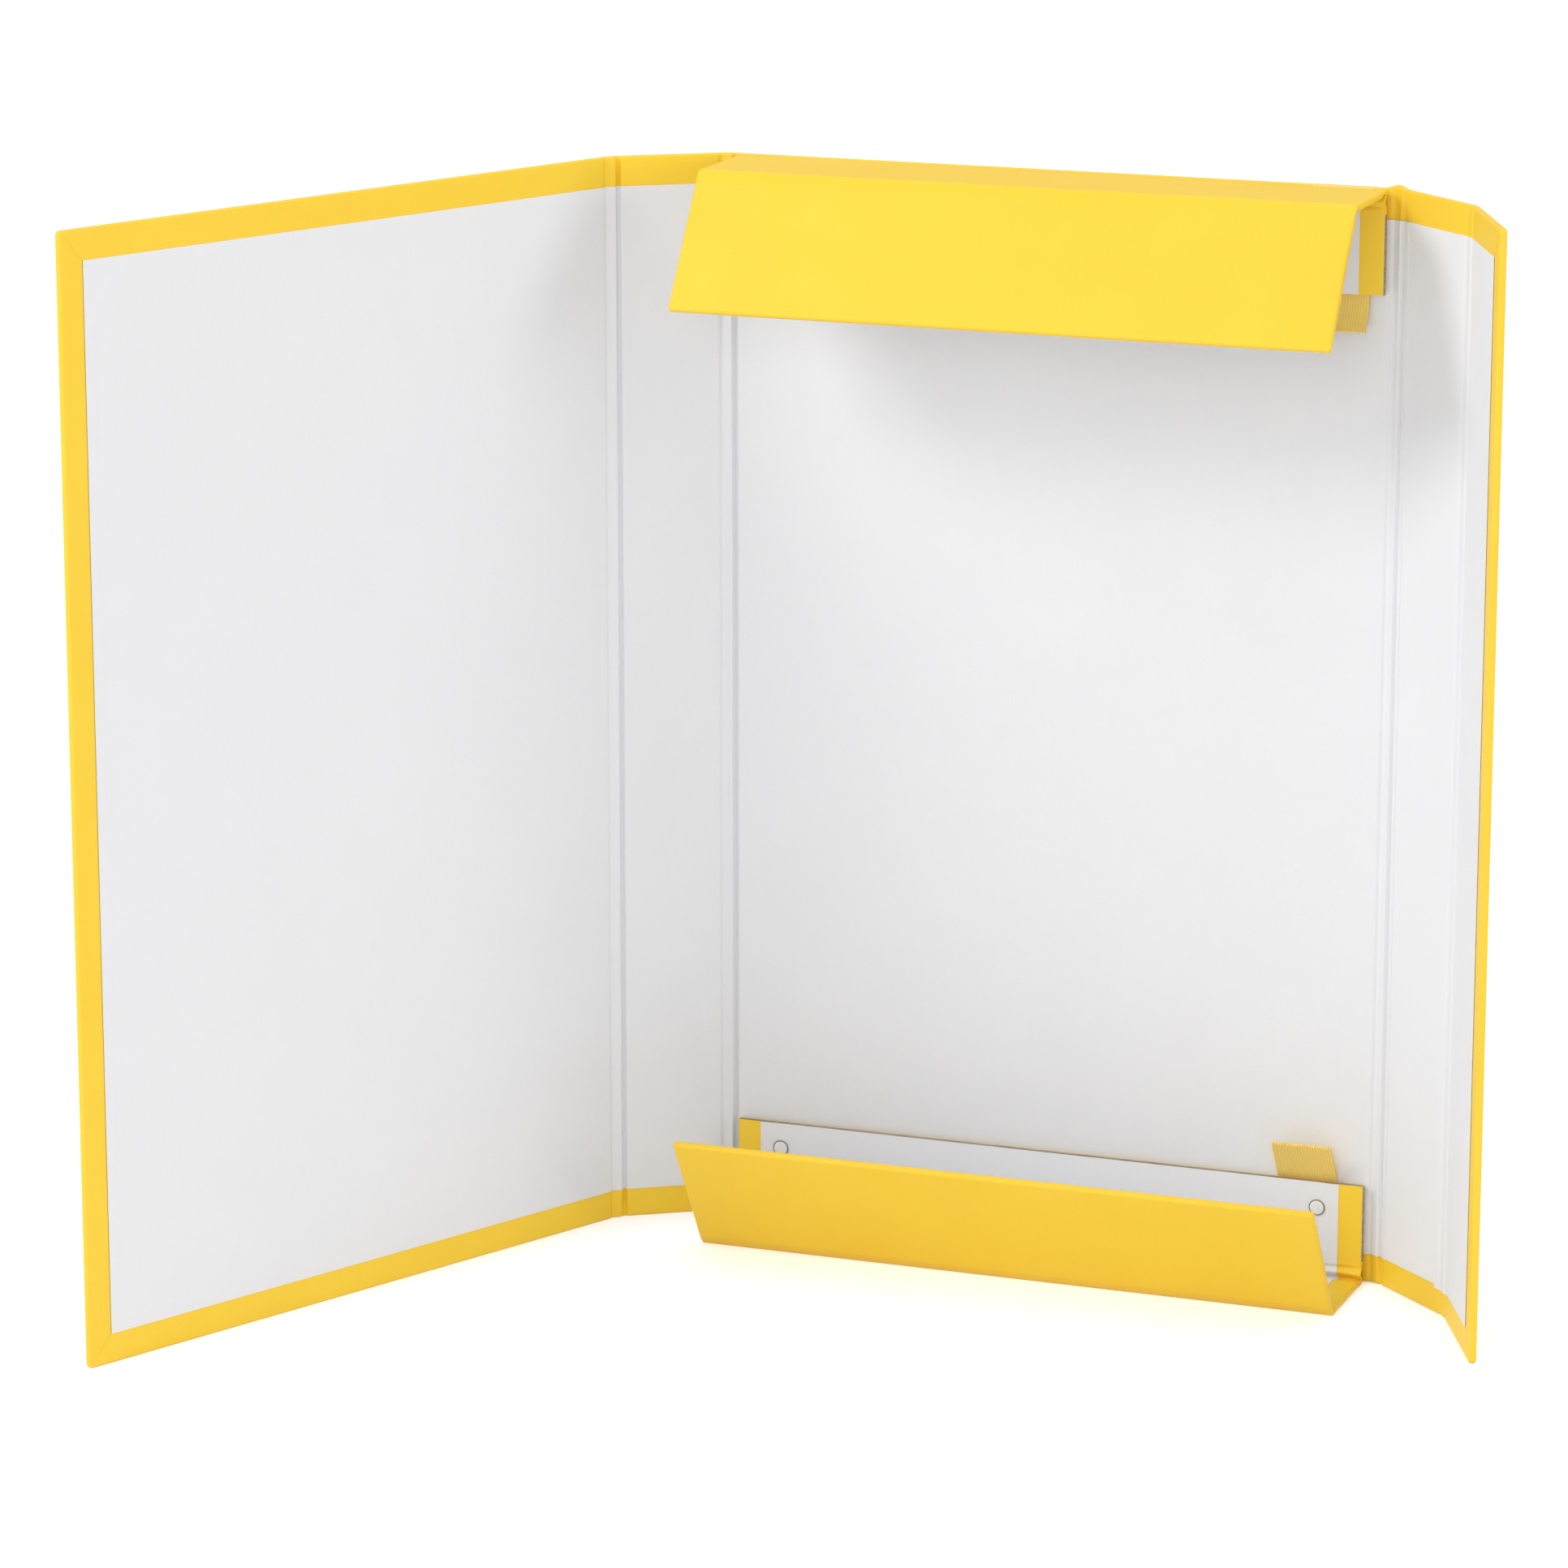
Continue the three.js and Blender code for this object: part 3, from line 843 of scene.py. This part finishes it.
def make_floor():
    bpy.ops.mesh.primitive_plane_add(size=FLOOR_SIZE, location=(0, 0, 0))
    floor = bpy.context.object
    floor.name = "floor"
    material, tree, shader = new_material("floor", (0.86, 0.86, 0.86), 0.9)
    shader.inputs["Specular IOR Level"].default_value = 0.0
    place = tree.nodes.new("ShaderNodeTexCoord")
    reach = tree.nodes.new("ShaderNodeVectorMath")
    reach.operation = "LENGTH"
    tree.links.new(place.outputs["Object"], reach.inputs[0])
    glow = tree.nodes.new("ShaderNodeMapRange")
    for name, value in zip(("From Min", "From Max", "To Min", "To Max"), FLOOR_GLOW_REACH + FLOOR_GLOW):
        glow.inputs[name].default_value = value
    tree.links.new(reach.outputs["Value"], glow.inputs["Value"])
    lift = tree.nodes.new("ShaderNodeMath")
    lift.operation = "MULTIPLY"
    tree.links.new(ray_kind(tree, "Is Camera Ray", "Is Glossy Ray"), lift.inputs[0])
    tree.links.new(glow.outputs[0], lift.inputs[1])
    shader.inputs["Emission Color"].default_value = (1, 1, 1, 1)
    tree.links.new(lift.outputs[0], shader.inputs["Emission Strength"])
    paint(floor, material)


def make_world():
    world = bpy.data.worlds.new("studio")
    bpy.context.scene.world = world
    world.use_nodes = True
    tree = world.node_tree
    tree.nodes.clear()
    output = tree.nodes.new("ShaderNodeOutputWorld")
    light = tree.nodes.new("ShaderNodeBackground")
    light.inputs["Color"].default_value = (1, 1, 1, 1)
    light.inputs["Strength"].default_value = WORLD_LIGHT
    white = tree.nodes.new("ShaderNodeBackground")
    white.inputs["Color"].default_value = (1, 1, 1, 1)
    mix = tree.nodes.new("ShaderNodeMixShader")
    tree.links.new(ray_kind(tree, "Is Camera Ray", "Is Transmission Ray"), mix.inputs["Fac"])
    tree.links.new(light.outputs[0], mix.inputs[1])
    tree.links.new(white.outputs[0], mix.inputs[2])
    tree.links.new(mix.outputs[0], output.inputs["Surface"])


def area_light(name, place, size, power, target=(0, 0, 0.17)):
    data = bpy.data.lights.new(name, "AREA")
    data.shape = "DISK"
    data.size = size
    data.energy = power
    light = bpy.data.objects.new(name, data)
    light.location = place
    light.rotation_euler = (Vector(target) - Vector(place)).to_track_quat("-Z", "Y").to_euler()
    bpy.context.scene.collection.objects.link(light)


# Name, place, width and power of each lamp
LAMPS = (
    ("key", (-1.8, -2.0, 2.0), 1.2, 31),
    ("fill", (3.0, -0.5, 0.9), 1.6, 19),
    ("front", (0.3, -3.0, 1.15), 1.2, 14),
    ("top", (0.3, 0.7, 2.6), 1.6, 14),
)
CAMERA_PLACE = (0.604, -1.839, 0.6372)
CAMERA_YAW = -20.5
CAMERA_PITCH = 13.9
CAMERA_LENS = 145.35


def make_camera():
    data = bpy.data.cameras.new("camera")
    data.sensor_fit = "HORIZONTAL"
    data.sensor_width = 36
    data.lens = CAMERA_LENS
    data.clip_end = 50
    camera = bpy.data.objects.new("camera", data)
    camera.location = CAMERA_PLACE
    camera.rotation_euler = (math.radians(90 - CAMERA_PITCH), 0, math.radians(-CAMERA_YAW))
    bpy.context.scene.collection.objects.link(camera)
    bpy.context.scene.camera = camera


# Assembly

def body_of(panel):
    """The body that a panel moves with. The two bases are riveted to the back."""
    return panel.name if panel.name in frame["bodies"] else "back"


def bare_ends(wrap, panel, grey):
    """Leaves the two short ends of a riveted base uncovered, so that the board shows."""
    wrap.data.materials.append(grey)
    for polygon in wrap.data.polygons:
        y = (polygon.center / MM - panel.origin).dot(panel.along)
        end = min(y, panel.length - y)
        if end < BARE_END and abs(polygon.normal.dot(panel.along)) > END_FACING:
            polygon.material_index = 1


def dress_panels(panels, yellow, white, grey):
    for name, panel in panels.items():
        wrap = turned_wrap(panel) if panel.side_margin else plain_wrap(panel)
        lining = panel_lining(panel)
        body = body_of(panel)
        for piece, material, slot, node in (
            (wrap, yellow, "yellow_paper", f"{name}_wrap"),
            (lining, white, "white_lining", f"{name}_lining"),
        ):
            paint(piece, material)
            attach(piece, body)
            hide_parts(node)
        if body == "back" and name != "back":
            bare_ends(wrap, panel, grey)
        paint(frame["nodes"][f"{name}_board"], grey)


def dress_hinges(pairs, yellow, white):
    for first, second in pairs:
        hinge = Hinge(first, second)
        middle = first.length / 2
        begin = first.point(first.fold - hinge.half, middle, 0)
        finish = second.point(second.start, middle, 0)
        for piece, material, slot in (
            (hinge_wrap(hinge), yellow, "yellow_paper"),
            (hinge_lining(hinge), white, "white_lining"),
        ):
            paint(piece, material)
            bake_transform(piece)


def dress_fittings():
    strap = make_strap()
    paint(strap, elastic_material(math.atan2(strap_lean(), FOLDER_HEIGHT)))
    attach(strap, "back")
    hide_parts("elastic_strap")
    white_metal = rivet_material("rivet", (0.86, 0.86, 0.86), 0.4)
    # A dark grey for the groove round each head: painted shade, not a colour of the rivet.
    painted_shade_ring = rivet_material("rivet_seam", (0.3, 0.28, 0.26), 0.7)
    for node in [n for n in frame["nodes"] if "_rivet_" in n]:
        rivet = make_rivet(node)
        paint(rivet, white_metal, painted_shade_ring)
        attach(rivet, "back")
        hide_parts(node)


scene = bpy.context.scene
scene.view_settings.view_transform = "Standard"
panels, pairs = build_panels()
yellow = paper_material("yellow_paper", (0.955, 0.625, 0.03), (0.97, 0.655, 0.036),
                        roughness=0.5, grain=0.00002, gloss=0.45)
white = paper_material("white_lining", (0.818, 0.822, 0.845), (0.83, 0.835, 0.858),
                       roughness=0.8, grain=0.00003, gloss=0.32)
grey = greyboard_material()
dress_panels(panels, yellow, white, grey)
dress_hinges(pairs, yellow, white)
dress_fittings()
make_floor()
make_world()
for lamp in LAMPS:
    area_light(*lamp)
make_camera()
